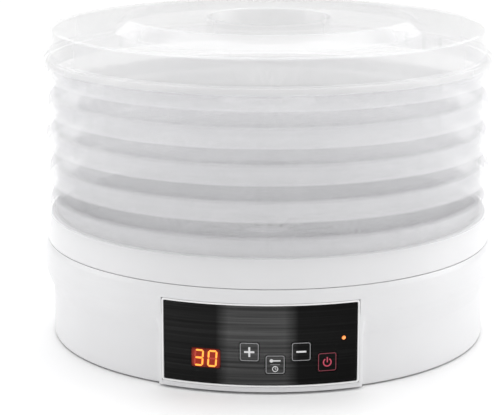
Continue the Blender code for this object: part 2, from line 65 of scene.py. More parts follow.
def make_camera():
    data = bpy.data.cameras.new("camera")
    data.lens = CAMERA_LENS
    data.sensor_width = 36.0
    camera = bpy.data.objects.new("camera", data)
    camera.location = (CAMERA_AWAY * math.sin(CAMERA_TURN), -CAMERA_AWAY * math.cos(CAMERA_TURN),
                       CAMERA_HEIGHT)
    camera.rotation_euler = (math.pi / 2 - CAMERA_PITCH, 0.0, CAMERA_TURN + CAMERA_YAW)
    SCENE.collection.objects.link(camera)
    SCENE.camera = camera


def make_area(name, location, target, size, power, colour=(1.0, 1.0, 1.0)):
    data = bpy.data.lights.new(name, "AREA")
    data.shape = "RECTANGLE"
    data.size, data.size_y = size
    data.energy = power
    data.color = colour
    lamp = bpy.data.objects.new(name, data)
    lamp.location = location
    lamp.rotation_mode = "QUATERNION"
    lamp.rotation_quaternion = (Vector(target) - Vector(location)).to_track_quat("-Z", "Y")
    SCENE.collection.objects.link(lamp)


def make_studio():
    world = bpy.data.worlds.new("studio")
    world.use_nodes = True
    back = world.node_tree.nodes["Background"]
    back.inputs["Color"].default_value = (1.0, 1.0, 1.0, 1.0)
    back.inputs["Strength"].default_value = 0.62
    SCENE.world = world
    SCENE.view_settings.view_transform = "Standard"
    SCENE.view_settings.look = "None"
    SCENE.cycles.transparent_max_bounces = 32
    SCENE.cycles.max_bounces = 12
    middle = (0.0, 0.0, 0.1)
    make_area("left_softbox", (-1.7, 0.1, 0.9), middle, (1.4, 1.4), 7.0)
    make_area("right_softbox", (1.7, 0.2, 0.9), middle, (1.4, 1.4), 11.0)
    make_area("top_softbox", (0.0, 0.1, 1.9), middle, (2.2, 1.8), 24.0)
    make_area("back_softbox", (0.0, 2.4, 1.6), (0.0, 1.6, 0.0), (3.6, 1.6), 20.0)


def make_floor():
    bm = bmesh.new()
    bmesh.ops.create_grid(bm, x_segments=8, y_segments=8, size=8.0)
    floor = link_mesh("floor", bm)
    mat, tree, shader = new_material("floor_paper", (0.93, 0.93, 0.93), 0.6)
    shade_by_noise(tree, shader, (0.925, 0.925, 0.93), (0.94, 0.94, 0.94), 3.0)
    floor.data.materials.append(mat)


# ---------------------------------------------------------------- materials

def new_material(name, colour, roughness, metallic=0.0, alpha=1.0, **sockets):
    """A Principled material; sockets are the shader's own, with _ for a space."""
    mat = bpy.data.materials.new(name)
    mat.use_nodes = True
    tree = mat.node_tree
    shader = tree.nodes["Principled BSDF"]
    shader.inputs["Base Color"].default_value = (*colour, 1.0)
    shader.inputs["Roughness"].default_value = roughness
    shader.inputs["Metallic"].default_value = metallic
    shader.inputs["Alpha"].default_value = alpha
    for key, value in sockets.items():
        shader.inputs[key.replace("_", " ")].default_value = value
    mat.diffuse_color = (*colour, alpha)
    return mat, tree, shader


def object_coords(tree, scale=(1.0, 1.0, 1.0), turn=(0.0, 0.0, 0.0)):
    coords = tree.nodes.new("ShaderNodeTexCoord")
    mapping = tree.nodes.new("ShaderNodeMapping")
    mapping.inputs["Scale"].default_value = scale
    mapping.inputs["Rotation"].default_value = turn
    tree.links.new(coords.outputs["Object"], mapping.inputs["Vector"])
    return mapping.outputs["Vector"]


def noise(tree, scale, stretch=(1.0, 1.0, 1.0), detail=4.0, rough=0.55, turn=(0.0, 0.0, 0.0)):
    node = tree.nodes.new("ShaderNodeTexNoise")
    node.inputs["Scale"].default_value = scale
    node.inputs["Detail"].default_value = detail
    node.inputs["Roughness"].default_value = rough
    tree.links.new(object_coords(tree, stretch, turn), node.inputs["Vector"])
    return node.outputs["Fac"]


def ramp(tree, source, stops):
    """Colour ramp; stops are (position, colour)."""
    node = tree.nodes.new("ShaderNodeValToRGB")
    band = node.color_ramp
    while len(band.elements) < len(stops):
        band.elements.new(0.5)
    for element, (position, colour) in zip(band.elements, stops):
        element.position = position
        element.color = (*colour, 1.0) if len(colour) == 3 else colour
    tree.links.new(source, node.inputs["Fac"])
    return node.outputs["Color"]


def grey(value):
    return (value, value, value)


def spread(tree, source, low, high, start=0.3, end=0.7):
    """Map a factor to a range."""
    node = tree.nodes.new("ShaderNodeMapRange")
    node.inputs["From Min"].default_value = start
    node.inputs["From Max"].default_value = end
    node.inputs["To Min"].default_value = low
    node.inputs["To Max"].default_value = high
    tree.links.new(source, node.inputs["Value"])
    return node.outputs["Result"]


def math_node(tree, operation, first, second=None):
    node = tree.nodes.new("ShaderNodeMath")
    node.operation = operation
    for slot, value in zip(node.inputs, (first, second)):
        if value is None:
            continue
        if isinstance(value, (int, float)):
            slot.default_value = value
        else:
            tree.links.new(value, slot)
    return node.outputs[0]


def add_bump(tree, shader, source, height, strength=1.0):
    bump = tree.nodes.new("ShaderNodeBump")
    bump.inputs["Distance"].default_value = height
    bump.inputs["Strength"].default_value = strength
    previous = shader.inputs["Normal"]
    if previous.is_linked:
        tree.links.new(previous.links[0].from_socket, bump.inputs["Normal"])
    tree.links.new(source, bump.inputs["Height"])
    tree.links.new(bump.outputs["Normal"], shader.inputs["Normal"])


def shade_by_noise(tree, shader, dark, light, scale, stretch=(1.0, 1.0, 1.0), detail=4.0):
    tone = ramp(tree, noise(tree, scale, stretch, detail), [(0.3, dark), (0.7, light)])
    tree.links.new(tone, shader.inputs["Base Color"])


def rough_by_noise(tree, shader, low, high, scale, stretch=(1.0, 1.0, 1.0)):
    value = spread(tree, noise(tree, scale, stretch), low, high)
    tree.links.new(value, shader.inputs["Roughness"])


def moulded(name, dark, light, roughness, grain=0.00003, **sockets):
    """Injection-moulded plastic: faint mottling, uneven gloss and a fine skin texture."""
    mat, tree, shader = new_material(name, light, roughness, **sockets)
    shade_by_noise(tree, shader, dark, light, 14.0)
    rough_by_noise(tree, shader, roughness - 0.05, roughness + 0.07, 45.0)
    add_bump(tree, shader, noise(tree, 2600.0, detail=2.0), grain)
    add_bump(tree, shader, noise(tree, 30.0, detail=1.0), 0.00012, 0.6)
    return mat


def brushed(name, dark, light, roughness, stretch=(1.0, 1.0, 40.0), scale=60.0):
    """Metal with fine parallel draw marks."""
    mat, tree, shader = new_material(name, light, roughness, 1.0)
    shade_by_noise(tree, shader, dark, light, scale, stretch)
    rough_by_noise(tree, shader, roughness - 0.08, roughness + 0.12, scale, stretch)
    add_bump(tree, shader, noise(tree, scale * 4.0, stretch), 0.00002)
    return mat


def make_materials():
    mats = {}
    mats["body"] = moulded("body_white_skin", (0.775, 0.775, 0.785), (0.80, 0.80, 0.81), 0.33,
                           Coat_Weight=0.15, Coat_Roughness=0.25)
    mats["cover"] = moulded("cover_skin", (0.66, 0.66, 0.67), (0.72, 0.72, 0.73), 0.5, 0.00006)
    mats["frame"] = moulded("frame_skin", (0.93, 0.93, 0.93), (0.96, 0.96, 0.96), 0.2, 0.00001)
    mats["tray"] = moulded("tray_frost", (0.86, 0.86, 0.875), (0.91, 0.91, 0.92), 0.34,
                           alpha=0.24)
    mats["lid"] = moulded("lid_frost", (0.85, 0.85, 0.855), (0.90, 0.90, 0.90), 0.16, 0.00001,
                          alpha=0.32, Coat_Weight=0.3, Coat_Roughness=0.05)
    mats["rubber"] = moulded("rubber_skin", (0.27, 0.27, 0.275), (0.34, 0.34, 0.345), 0.75, 0.00008)
    mats["impeller"] = moulded("impeller_skin", (0.025, 0.025, 0.027), (0.04, 0.04, 0.043), 0.45)
    mats["switch"] = moulded("switch_skin", (0.05, 0.05, 0.052), (0.08, 0.08, 0.082), 0.5)
    mats["block"] = moulded("display_block_skin", (0.03, 0.03, 0.03), (0.05, 0.05, 0.05), 0.5)
    mats["relay"] = moulded("relay_skin", (0.03, 0.09, 0.35), (0.05, 0.12, 0.42), 0.35)
    mats["sleeve"] = moulded("capacitor_sleeve", (0.02, 0.025, 0.05), (0.035, 0.04, 0.08), 0.35)
    mats["ceramic"] = moulded("ceramic_skin", (0.68, 0.66, 0.6), (0.78, 0.77, 0.72), 0.3)
    mats["steel"] = brushed("pressed_steel", (0.45, 0.46, 0.48), (0.6, 0.61, 0.63), 0.3)
    mats["zinc"] = brushed("zinc_sheet", (0.5, 0.51, 0.54), (0.66, 0.67, 0.7), 0.4,
                           (1.0, 30.0, 1.0))
    mats["tin"] = brushed("tinned_sheet", (0.58, 0.59, 0.6), (0.72, 0.73, 0.74), 0.25)
    mats["shaft"] = brushed("ground_steel", (0.6, 0.6, 0.62), (0.75, 0.75, 0.77), 0.18)
    mats["sheath"] = brushed("heater_sheath_metal", (0.1, 0.095, 0.09), (0.22, 0.2, 0.18), 0.4)
    mats["mica"] = layered_mica()
    mats["tape"] = wrapped_tape()
    mats["board"] = circuit_board()
    mats["panel"] = streaked_panel()
    mats["lens"] = display_lens()
    mats["digit"] = glowing("digit_light", (1.0, 0.30, 0.03), 1.5, (0.6, 0.2, 0.03))
    mats["ghost"] = glowing("digit_unlit", (0.5, 0.03, 0.01), 0.75, (0.12, 0.01, 0.005))
    mats["amber"] = glowing("amber_light", (1.0, 0.27, 0.06), 1.0, (0.8, 0.3, 0.1))
    mats["ink"] = printed("white_ink", (0.84, 0.84, 0.85))
    mats["outline"] = printed("grey_ink", (0.33, 0.33, 0.34))
    mats["red_ink"] = printed("red_ink", (0.62, 0.055, 0.11))
    mats["red_outline"] = printed("dim_red_ink", (0.28, 0.03, 0.055))
    return mats


def printed(name, colour):
    """Screen-printed ink with a slightly uneven edge tone."""
    mat, tree, shader = new_material(name, colour, 0.35)
    dim = tuple(0.88 * c for c in colour)
    shade_by_noise(tree, shader, dim, colour, 900.0)
    return mat


def glowing(name, colour, strength, base):
    mat, tree, shader = new_material(name, base, 0.3)
    shade_by_noise(tree, shader, tuple(0.85 * c for c in base), base, 700.0)
    shader.inputs["Emission Color"].default_value = (*colour, 1.0)
    shader.inputs["Emission Strength"].default_value = strength
    return mat


def layered_mica():
    mat, tree, shader = new_material("mica_layers", (0.55, 0.47, 0.34), 0.5)
    shade_by_noise(tree, shader, (0.42, 0.34, 0.22), (0.62, 0.54, 0.4), 90.0, (1.0, 1.0, 6.0), 8.0)
    add_bump(tree, shader, noise(tree, 500.0, (1.0, 1.0, 5.0)), 0.00005)
    return mat


def wrapped_tape():
    mat, tree, shader = new_material("wrapped_tape", (0.7, 0.55, 0.12), 0.4)
    shade_by_noise(tree, shader, (0.6, 0.45, 0.08), (0.78, 0.62, 0.16), 60.0, (1.0, 1.0, 12.0))
    add_bump(tree, shader, noise(tree, 40.0, (1.0, 1.0, 30.0)), 0.00008)
    return mat


def circuit_board():
    """Green board with lighter copper tracks under the resist."""
    mat, tree, shader = new_material("board_resist", (0.02, 0.17, 0.06), 0.35)
    cells = tree.nodes.new("ShaderNodeTexVoronoi")
    cells.distance = "CHEBYCHEV"
    cells.feature = "DISTANCE_TO_EDGE"
    cells.inputs["Scale"].default_value = 260.0
    tree.links.new(object_coords(tree), cells.inputs["Vector"])
    tone = ramp(tree, cells.outputs["Distance"],
                [(0.03, (0.012, 0.12, 0.045)), (0.09, (0.035, 0.24, 0.09))])
    tree.links.new(tone, shader.inputs["Base Color"])
    add_bump(tree, shader, cells.outputs["Distance"], 0.00004)
    return mat


PAINTED_REFLECTION_LEFT = (-0.030, -0.020)        # where the painted reflection, a lighter middle of the panel, fades in and out
PAINTED_REFLECTION_RIGHT = (0.016, 0.026)


def streaked_panel():
    """Glossy black film printed with fine level streaks, plus a painted reflection: a lighter
    middle and a left side lighter than the right.
    """
    mat, tree, shader = new_material("panel_streaks_painted_reflection", (0.01, 0.01, 0.011), 0.22,
                                     Specular_IOR_Level=0.05)
    fine = noise(tree, 1.0, (6.0, 6.0, 620.0), 3.0, 0.6, (0.0, 0.03, 0.0))
    broad = noise(tree, 1.0, (4.0, 4.0, 130.0), 2.0, 0.5, (0.0, -0.02, 0.0))
    mixed = math_node(tree, "ADD", math_node(tree, "MULTIPLY", fine, 0.6),
                      math_node(tree, "MULTIPLY", broad, 0.4))
    split = tree.nodes.new("ShaderNodeSeparateXYZ")
    tree.links.new(object_coords(tree), split.inputs["Vector"])
    along = split.outputs["X"]
    # painted reflection of a front light: a lighter band down the middle of the panel
    left = spread(tree, along, 0.0, 1.0, *PAINTED_REFLECTION_LEFT)
    right = spread(tree, along, 1.0, 0.0, *PAINTED_REFLECTION_RIGHT)
    middle = math_node(tree, "MULTIPLY", left, right)
    # painted shade: the panel's left side lighter than its right, as the light falls
    edge = spread(tree, along, 0.20, 0.06, -0.06, 0.06)
    painted_reflection = math_node(tree, "MAXIMUM", middle, edge)
    streak = spread(tree, mixed, 0.55, 1.5, 0.40, 0.62)
    tone = ramp(tree, math_node(tree, "MULTIPLY", painted_reflection, math_node(tree, "MULTIPLY", streak, 0.6)),
                [(0.0, grey(0.001)), (1.0, grey(0.108))])
    tree.links.new(tone, shader.inputs["Base Color"])
    tree.links.new(spread(tree, fine, 0.18, 0.32), shader.inputs["Roughness"])
    return mat


GLOW_PLACES = (-0.0392, -0.0305)     # across the panel, metres
GLOW_LEVEL = 0.0232
GLOW_HALF_WIDE, GLOW_HALF_TALL = 0.0058, 0.0074


def display_lens():
    """Dark red lens with a soft glow round each of the two digits."""
    mat, tree, shader = new_material("display_lens", (0.05, 0.004, 0.002), 0.15,
                                     Specular_IOR_Level=0.2)
    shade_by_noise(tree, shader, (0.012, 0.002, 0.001), (0.02, 0.003, 0.002), 200.0)
    split = tree.nodes.new("ShaderNodeSeparateXYZ")
    tree.links.new(object_coords(tree), split.inputs["Vector"])
    rise = math_node(tree, "ABSOLUTE", math_node(tree, "SUBTRACT", split.outputs["Z"], GLOW_LEVEL))
    rise = math_node(tree, "DIVIDE", rise, GLOW_HALF_TALL)
    glow = None
    for place in GLOW_PLACES:
        off = math_node(tree, "ABSOLUTE", math_node(tree, "SUBTRACT", split.outputs["X"], place))
        off = math_node(tree, "DIVIDE", off, GLOW_HALF_WIDE)
        edge = math_node(tree, "POWER", math_node(tree, "ADD", math_node(tree, "POWER", off, 4.0),
                                                  math_node(tree, "POWER", rise, 4.0)), 0.25)
        share = spread(tree, edge, 1.0, 0.0, 0.62, 1.0)
        glow = share if glow is None else math_node(tree, "MAXIMUM", glow, share)
    tone = ramp(tree, glow, [(0.0, (0.02, 0.001, 0.0)), (1.0, (0.36, 0.022, 0.008))])
    tree.links.new(tone, shader.inputs["Emission Color"])
    shader.inputs["Emission Strength"].default_value = 0.85
    return mat


# ---------------------------------------------------------------- shapes

def on_circle(radius, angle, z=0.0):
    """The point at an angle from -Y, positive towards +X."""
    return Vector((radius * math.sin(angle), -radius * math.cos(angle), z))


def link_mesh(name, bm, weld=0.0, sharp=32.0):
    if weld:
        bmesh.ops.remove_doubles(bm, verts=bm.verts, dist=weld)
    bmesh.ops.recalc_face_normals(bm, faces=bm.faces)
    mesh = bpy.data.meshes.new(name)
    bm.to_mesh(mesh)
    bm.free()
    mesh.shade_smooth()
    mesh.set_sharp_from_angle(angle=math.radians(sharp))
    obj = bpy.data.objects.new(name, mesh)
    SCENE.collection.objects.link(obj)
    return obj


def rounded(points, radii, closed=False, step=15.0):
    """The line with its corners turned into arcs; points and radii are in millimetres."""
    line = [Vector(p) for p in points]
    count = len(line)
    out = []
    for i, corner in enumerate(line):
        radius = radii[i]
        if radius <= 0.0 or (not closed and i in (0, count - 1)):
            out.append(corner)
            continue
        back, ahead = line[i - 1] - corner, line[(i + 1) % count] - corner
        reach = min(back.length, ahead.length) * 0.47
        back, ahead = back.normalized(), ahead.normalized()
        opening = math.acos(max(-1.0, min(1.0, back.dot(ahead))))
        if opening > math.pi - 0.02:
            out.append(corner)
            continue
        tangent = min(radius / math.tan(opening / 2), reach)
        radius = tangent * math.tan(opening / 2)
        centre = corner + (back + ahead).normalized() * (radius / math.sin(opening / 2))
        start, end = corner + back * tangent - centre, corner + ahead * tangent - centre
        first = math.atan2(start.y, start.x)
        swing = (math.atan2(end.y, end.x) - first + math.pi) % (2 * math.pi) - math.pi
        steps = max(2, math.ceil(abs(swing) / math.radians(step)))
        for s in range(steps + 1):
            turn = first + swing * s / steps
            out.append(centre + radius * Vector((math.cos(turn), math.sin(turn))))
    return out


def beside(points, distance):
    """The line moved sideways, to its left for a positive distance."""
    line = [Vector(p) for p in points]
    normals = []
    for first, second in zip(line, line[1:]):
        along = (second - first).normalized()
        normals.append(Vector((-along.y, along.x)))
    out = []
    for i, point in enumerate(line):
        before, after = normals[max(i - 1, 0)], normals[min(i, len(normals) - 1)]
        out.append(point + (before + after) * (distance / (1.0 + before.dot(after))))
    return out


def even_spins(count):
    return [2 * math.pi * i / count for i in range(count)]


def add_turned(bm, profile, spins, closed=False):
    """Turn a profile, given in millimetres, through the angles."""
    loops = [[bm.verts.new(on_circle(r * MM, spin, z * MM)) for r, z in profile] for spin in spins]
    count = len(profile)
    for first, second in zip(loops, loops[1:] + loops[:1]):
        for j in range(count if closed else count - 1):
            k = (j + 1) % count
            bm.faces.new((first[j], first[k], second[k], second[j]))


def add_pierced(bm, rings, spins, is_open, top, low):
    """A flat pierced plate between rings of radii; is_open says which cells are holes."""
    count, last = len(spins), len(rings) - 1
    upper = [[bm.verts.new(on_circle(r * MM, a, top * MM)) for a in spins] for r in rings]
    lower = [[bm.verts.new(on_circle(r * MM, a, low * MM)) for a in spins] for r in rings]
    hole = [[is_open(j, i) for i in range(count)] for j in range(last)]
    for j in range(last):
        for i in range(count):
            k = (i + 1) % count
            if not hole[j][i]:
                bm.faces.new((upper[j][i], upper[j + 1][i], upper[j + 1][k], upper[j][k]))
                bm.faces.new((lower[j][i], lower[j][k], lower[j + 1][k], lower[j + 1][i]))
            if hole[j][i] != hole[j][k]:
                bm.faces.new((upper[j][k], upper[j + 1][k], lower[j + 1][k], lower[j][k]))
            if j and hole[j][i] != hole[j - 1][i]:
                bm.faces.new((upper[j][i], upper[j][k], lower[j][k], lower[j][i]))


def add_block(bm, centre, size, turn=0.0):
    """A box whose own Y axis points out of the body at the turn angle."""
    place = Matrix.Rotation(turn, 4, "Z") @ Matrix.Translation(Vector(centre) * MM)
    bmesh.ops.create_cube(bm, size=1.0, matrix=place @ Matrix.Diagonal((*(Vector(size) * MM), 1.0)))


def finish(obj, mat, body, slot, *nodes):
    """Give a piece its material and its place in the model."""
    obj.data.materials.clear()
    obj.data.materials.append(mat)
    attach(obj, body)
    if nodes:
        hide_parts(*nodes)
    return obj


# ---------------------------------------------------------------- trays

TRAY_RISE = 13.2                     # from the band's lower edge to its top
TRAY_FLOOR_TOP = -19.8
TRAY_FLOOR_LOW = -21.6
GRID_OUTER = 141.0
HUB_PLATE_R = 31.0
ZONES = ((31.0, 65.0, 4), (65.0, 103.0, 2), (103.0, 141.0, 1))    # inner, outer, rib spacing
RIB_HALF = {4: 1.1, 2: 0.65, 1: 0.36}                             # degrees
GRID_STEP = 2.5
RIB_COUNT = 144
LUG_TURN = 2.55
SPACER_START = -48.0
SPACER_TURNS = (-6.7, 0.0, 6.7)      # ribs inside the hollow rim, in threes
SPACER_CENTRE = (0.0, -153.0, 6.9)
SPACER_SIZE = (1.1, 3.2, 9.4)
TRAY_TURNS = {1: 0.0, 2: 180.0, 3: 270.0, 4: 90.0, 5: 180.0}


def tray_rings():
    """Ring edges of the floor grid: a hoop every 8 mm, 1.6 mm wide."""
    rings = [HUB_PLATE_R, HUB_PLATE_R + 2.0]
    r = HUB_PLATE_R + 2.0
    while r + 7.9 < GRID_OUTER - 2.0:
        rings += [r + 6.3, r + 7.9]
        r += 7.9
    rings.append(GRID_OUTER)
    return rings


def tray_spins():
    """Angles of every rib edge, in degrees, for the ribs of every zone spacing."""
    spins = []
    for k in range(RIB_COUNT):
        for spacing, half in RIB_HALF.items():
            if k % spacing == 0:
                spins += [k * GRID_STEP - half, k * GRID_STEP + half]
    return sorted(set(spins))


def make_tray_mesh():
    wall = [(GRID_OUTER, TRAY_FLOOR_TOP), (146.9, TRAY_FLOOR_TOP), (146.9, 1.8), (149.9, 1.8),
            (149.9, TRAY_RISE), (154.0, TRAY_RISE), (155.85, 9.0), (156.1, 4.4), (156.1, 0.0),
            (154.3, 0.0), (154.3, 4.6), (153.9, 8.6), (152.9, 11.4), (151.7, 11.4), (151.7, 0.0),
            (148.7, 0.0), (148.7, TRAY_FLOOR_LOW), (GRID_OUTER, TRAY_FLOOR_LOW)]
    radii = [0, 1.4, 0.6, 0.5, 0.7, 1.5, 5.0, 3.0, 0.4, 0.4, 2.0, 2.0, 0.5, 0.4, 0.5, 0.6, 1.5, 0]
    wall = rounded(wall, radii)
    hub = [(HUB_PLATE_R, TRAY_FLOOR_TOP), (20.9, TRAY_FLOOR_TOP), (20.9, -16.6), (19.1, -16.6),
           (19.1, TRAY_FLOOR_LOW), (HUB_PLATE_R, TRAY_FLOOR_LOW)]
    hub = rounded(hub, [0, 0.8, 0.5, 0.5, 0.4, 0])
    degrees = tray_spins()
    spins = [math.radians(d) for d in degrees]
    rings = tray_rings()
    middles = [(a + b) / 2 for a, b in zip(degrees, degrees[1:] + [degrees[0] + 360.0])]

    def is_open(j, i):
        centre = (rings[j] + rings[j + 1]) / 2
        if j % 2 == 0 or j == len(rings) - 2:
            return False
        spacing = next(gap for low, high, gap in ZONES if low <= centre < high)
        pitch = GRID_STEP * spacing
        off = abs((middles[i] + pitch / 2) % pitch - pitch / 2)
        return off > RIB_HALF[spacing]

    bm = bmesh.new()
    add_turned(bm, wall, spins)
    add_turned(bm, hub, spins)
    add_pierced(bm, rings, spins, is_open, TRAY_FLOOR_TOP, TRAY_FLOOR_LOW)
    bmesh.ops.remove_doubles(bm, verts=bm.verts, dist=0.00001)
    for quarter in range(4):
        for off in SPACER_TURNS:
            turn = math.radians(quarter * 90.0 + SPACER_START + off)
            add_block(bm, SPACER_CENTRE, SPACER_SIZE, turn)
    return bm


def make_lug(bm, turn, radius, low, high, width, rise):
    """A shallow raised rectangle on a round wall."""
    steps = 6
    half = width / 2 / radius
    inner, outer = radius - 0.8, radius + rise
    rows = []
    for i in range(steps + 1):
        a = turn - half + 2 * half * i / steps
        rows.append([bm.verts.new(on_circle(r * MM, a, z * MM))
                     for r, z in ((inner, low), (outer, low), (outer, high), (inner, high))])
    for first, second in zip(rows, rows[1:]):
        for j in range(4):
            k = (j + 1) % 4
            bm.faces.new((first[j], first[k], second[k], second[j]))
    bm.faces.new(rows[0])
    bm.faces.new(rows[-1])


def make_trays(mats):
    bm = make_tray_mesh()
    make_lug(bm, math.radians(LUG_TURN), 156.1, 4.1, 8.8, 13.4, 0.3)
    source = link_mesh("tray_moulding", bm)
    for number in range(1, TRAYS + 1):
        _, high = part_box(f"tray_{number}")
        tray = bpy.data.objects.new(f"tray_{number}_moulding", source.data)
        SCENE.collection.objects.link(tray)
        tray.location = (0.0, 0.0, high.z - TRAY_RISE * MM)
        tray.rotation_euler = (0.0, 0.0, math.radians(TRAY_TURNS[number]))
        finish(tray, mats["tray"], f"tray_{number}", "tray_frosted", f"tray_{number}")
    bpy.data.objects.remove(source)


# ---------------------------------------------------------------- lid

LID_SLOTS = 16
LID_FLOOR_R = 39.0


def make_lid(mats):
    outer = [(LID_FLOOR_R, 211.7), (41.5, 211.7), (43.0, 223.7), (99.9, 224.8), (101.9, 224.1),
             (111.0, 216.4), (150.2, 217.8), (152.2, 216.8), (152.5, 199.5), (158.15, 199.3),
             (158.75, 195.0)]
    inner = beside(outer, -1.8)
    radii = [0, 1.2, 0.9, 0.8, 0.8, 0.9, 0.8, 0.8, 0.9, 0.6, 0.3]
    tight = [0, 2.4, 0.4, 0.4, 0.4, 2.0, 0.4, 0.4, 2.0, 0.4, 0.3]
    profile = rounded(outer + inner[::-1], radii + tight[::-1])
    half = 3.4
    degrees = sorted((k * 360.0 / LID_SLOTS + off) % 360.0
                     for k in range(LID_SLOTS) for off in (-11.25, -7.4, -half, 0.0, half, 7.4))
    fine = sorted(set(degrees + [(a + 1.9) % 360.0 for a in degrees]))
    spins = [math.radians(d) for d in fine]
    rings = [0.0, 6.0, 14.0, 36.0, LID_FLOOR_R]
    middles = [(a + b) / 2 for a, b in zip(fine, fine[1:] + [fine[0] + 360.0])]

    def is_open(j, i):
        pitch = 360.0 / LID_SLOTS
        off = abs((middles[i] + pitch / 2) % pitch - pitch / 2)
        return j == 2 and off < half

    bm = bmesh.new()
    add_turned(bm, profile, spins)
    add_pierced(bm, rings, spins, is_open, 211.7, 209.9)
    lid = link_mesh("lid_moulding", bm, weld=0.00001)
    finish(lid, mats["lid"], "lid", "lid_clear", "lid")


# ---------------------------------------------------------------- base

DECK_SLOTS = 16
DECK_PLATE_R = 58.0


def make_deck(mats):
    rim = [(DECK_PLATE_R, 67.5), (149.6, 67.5), (149.6, 89.1), (153.7, 89.1), (156.3, 69.8),
           (153.8, 69.8), (153.8, 65.7), (DECK_PLATE_R, 65.7)]
    profile = rounded(rim, [0, 0.9, 0.5, 0.7, 0.5, 0.3, 0.4, 0])
    half = 4.0
    degrees = sorted((k * 360.0 / DECK_SLOTS + off) % 360.0
                     for k in range(DECK_SLOTS) for off in (-11.25, -7.6, -half, 0.0, half, 7.6))
    fine = sorted(set(degrees + [(a + 1.9) % 360.0 for a in degrees]))
    spins = [math.radians(d) for d in fine]
    rings = [0.0, 8.0, 20.0, 35.2, 36.8, 52.0, DECK_PLATE_R]
    middles = [(a + b) / 2 for a, b in zip(fine, fine[1:] + [fine[0] + 360.0])]

    def is_open(j, i):
        pitch = 360.0 / DECK_SLOTS
        off = abs((middles[i] + pitch / 2) % pitch - pitch / 2)
        return j in (2, 4) and off < half

    bm = bmesh.new()
    add_turned(bm, profile, spins)
    add_pierced(bm, rings, spins, is_open, 67.5, 65.7)
    deck = link_mesh("deck_moulding", bm, weld=0.00001)
    finish(deck, mats["body"], "base", "body_white", "top_deck")


CONSOLE_R = 158.1
CONSOLE_HALF = math.radians(24.5)
CONSOLE_FADE = math.radians(1.3)
RECESS_HALF = math.radians(23.9)
RECESS_LOW, RECESS_HIGH = 4.8, 61.0
RECESS_R = 156.9
WINDOW = (math.radians(-18.0), math.radians(21.2), 11.5, 39.5)
CAVITY = (math.radians(22.68), 7.4, 42.0, 155.2)
BLOCK_IN_R = 151.9
COVER_LIP = [(151.4, 5.4), (151.4, 3.4), (144.0, 3.4), (144.0, 5.4)]
BLOCK_TOP = 61.4


def smooth(value):
    value = max(0.0, min(1.0, value))
    return value * value * (3 - 2 * value)


def with_level(profile, level):
    """Add a point where a falling profile crosses a height."""
    out = [profile[0]]
    for first, second in zip(profile, profile[1:]):
        if first.y > level + 1e-6 > level - 1e-6 > second.y:
            share = (first.y - level) / (first.y - second.y)
            out.append(first.lerp(second, share))
        out.append(second)
    return out


def console_radius(r, z, angle):
    """The outer radius where the console stands out of the round wall."""
    blend = smooth((CONSOLE_HALF + CONSOLE_FADE - abs(angle)) / CONSOLE_FADE)
    blend *= smooth((z - 0.6) / 1.3)
    return r + (CONSOLE_R - r) * blend if z < BLOCK_TOP and r < CONSOLE_R else r


def console_inner(r, z, angle):
    if abs(angle) > RECESS_HALF or not 5.4 < z < BLOCK_TOP:
        return min(r, 151.1) if z < 5.4 else r
    half, low, high, radius = CAVITY
    return radius if abs(angle) < half and low < z < high else BLOCK_IN_R


